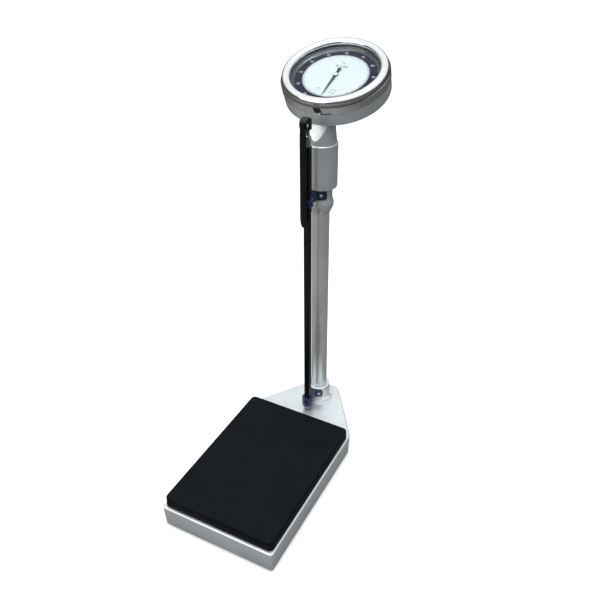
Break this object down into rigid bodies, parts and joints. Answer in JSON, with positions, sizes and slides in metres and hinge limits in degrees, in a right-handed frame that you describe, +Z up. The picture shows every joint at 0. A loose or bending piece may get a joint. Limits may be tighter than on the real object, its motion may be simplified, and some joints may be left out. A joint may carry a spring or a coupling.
{
  "type": "physician dial scale",
  "caption": "Free-standing lever scale with a rubber-topped platform, round column, tilted round dial with glass and pointer, and a telescopic height rod with folding arm.",
  "frame": {"origin": "on the floor, under the middle of the whole object's bounding box at rest", "axes": "+Z up, +Y from the platform towards the column and dial, +X across to the right of a person who stands on the platform and faces the dial"},
  "size_m": [0.283, 0.6756, 0.9557],
  "materials": {
    "grey_paint": "semi-gloss light silver-grey enamel",
    "black_paint": "satin black stove enamel",
    "chrome_plate": "bright polished chrome plate",
    "tread_rubber": "matt black moulded rubber, fine pebbled grain",
    "foot_rubber": "matt black rubber",
    "blue_plastic": "semi-gloss navy blue moulded plastic",
    "black_plastic": "black moulded plastic",
    "zinc_steel": "zinc plated steel",
    "cast_iron": "grey iron casting",
    "brass": "turned brass",
    "clear_glass": "clear flat glass",
    "dial_white": "white printed dial sheet",
    "dial_navy": "navy printed chapter ring",
    "mirror_steel": "bright polished steel pointer"
  },
  "bodies": {
    "base": {"base_housing": "grey_paint", "bottom_plate": "black_paint", "rubber_foot_front_left": "foot_rubber", "rubber_foot_front_right": "foot_rubber", "rubber_foot_rear_left": "foot_rubber", "rubber_foot_rear_right": "foot_rubber", "front_fulcrum_beam": "cast_iron", "rear_fulcrum_beam": "cast_iron", "column_foot": "grey_paint", "flange_bolt_1": "zinc_steel", "flange_bolt_2": "zinc_steel", "flange_bolt_3": "zinc_steel", "column_tube": "grey_paint", "column_band": "grey_paint", "head_cowl": "grey_paint", "head_neck": "grey_paint", "dial_drum": "grey_paint", "bezel_ring": "chrome_plate", "dial_glass": "clear_glass", "dial_spacer": "zinc_steel", "dial_ring": "dial_navy", "dial_disc": "dial_white", "movement_frame": "zinc_steel", "crank_pin": "zinc_steel", "spring_seat": "zinc_steel", "main_spring": "zinc_steel", "rod_foot_cup": "blue_plastic", "lower_bracket": "blue_plastic", "upper_bracket": "blue_plastic", "lower_bracket_screw_left": "zinc_steel", "lower_bracket_screw_right": "zinc_steel", "upper_bracket_screw_left": "zinc_steel", "upper_bracket_screw_right": "zinc_steel", "rod_outer_tube": "black_paint"},
    "platform": {"tread_mat": "tread_rubber", "platform_pan": "zinc_steel", "front_platform_bearing": "zinc_steel", "rear_platform_bearing": "zinc_steel"},
    "long_lever": {"long_lever": "cast_iron", "long_fulcrum_knife": "zinc_steel", "long_load_knife": "zinc_steel", "long_nose_knife": "zinc_steel"},
    "short_lever": {"short_lever": "cast_iron", "short_fulcrum_knife": "zinc_steel", "short_load_knife": "zinc_steel"},
    "draw_rod": {"draw_rod": "zinc_steel", "draw_stirrup": "zinc_steel", "spring_cap": "brass"},
    "bell_crank": {"bell_crank": "zinc_steel"},
    "rack": {"rack": "brass"},
    "pointer": {"pointer": "mirror_steel", "pointer_arbor": "zinc_steel", "pointer_cap": "chrome_plate"},
    "zero_knob": {"zero_knob": "black_plastic"},
    "rod_middle": {"rod_middle_tube": "zinc_steel", "rod_collar": "chrome_plate"},
    "rod_top": {"rod_inner_bar": "chrome_plate", "rod_head": "black_paint", "arm_pin": "chrome_plate"},
    "measuring_arm": {"measuring_arm": "black_paint"}
  },
  "joints": [
    {"name": "platform_travel", "type": "slide", "parent": "base", "child": "platform", "axis": [0, 0, 1], "range_m": [-0.001, 0], "stiffness_N_per_m": 60000, "springref_m": 0.002},
    {"name": "long_lever_pivot", "type": "hinge", "parent": "base", "child": "long_lever", "pos_m": [0, -0.2978, 0.038], "axis": [1, 0, 0], "range_deg": [-1.28, 0]},
    {"name": "short_lever_pivot", "type": "hinge", "parent": "base", "child": "short_lever", "pos_m": [0, 0.0082, 0.057], "axis": [1, 0, 0], "range_deg": [0, 1.28]},
    {"name": "draw_rod_travel", "type": "slide", "parent": "base", "child": "draw_rod", "axis": [0, 0, 1], "range_m": [-0.01001, 0], "deforming": ["main_spring"]},
    {"name": "bell_crank_pivot", "type": "hinge", "parent": "base", "child": "bell_crank", "pos_m": [0, 0.1762, 0.8063], "axis": [1, 0, 0], "range_deg": [0, 23.9]},
    {"name": "rack_travel", "type": "slide", "parent": "base", "child": "rack", "axis": [0, -0.9348, -0.3551], "range_m": [0, 0.02414]},
    {"name": "pointer_turn", "type": "hinge", "parent": "base", "child": "pointer", "pos_m": [0, 0.2137, 0.9135], "axis": [0, 0.3551, -0.9348], "range_deg": [0, 345.7]},
    {"name": "zero_knob_turn", "type": "hinge", "parent": "base", "child": "zero_knob", "pos_m": [0, 0.1992, 0.685], "axis": [0, 1, 0], "range_deg": [-180, 180]},
    {"name": "rod_middle_slide", "type": "slide", "parent": "base", "child": "rod_middle", "axis": [0, 0, 1], "range_m": [0, 0.58]},
    {"name": "rod_top_slide", "type": "slide", "parent": "rod_middle", "child": "rod_top", "axis": [0, 0, 1], "range_m": [0, 0.57]},
    {"name": "arm_fold", "type": "hinge", "parent": "rod_top", "child": "measuring_arm", "pos_m": [0, 0.0777, 0.836], "axis": [-1, 0, 0], "range_deg": [0, 90]}
  ],
  "couplings": [
    {"joint": "long_lever_pivot", "follows": "platform_travel", "rad_per_m": 22.222},
    {"joint": "short_lever_pivot", "follows": "platform_travel", "rad_per_m": -22.222},
    {"joint": "draw_rod_travel", "follows": "platform_travel", "ratio": 10},
    {"joint": "bell_crank_pivot", "follows": "platform_travel", "rad_per_m": -416.67},
    {"joint": "rack_travel", "follows": "platform_travel", "ratio": -24.125},
    {"joint": "pointer_turn", "follows": "platform_travel", "rad_per_m": -6031.2}
  ]
}
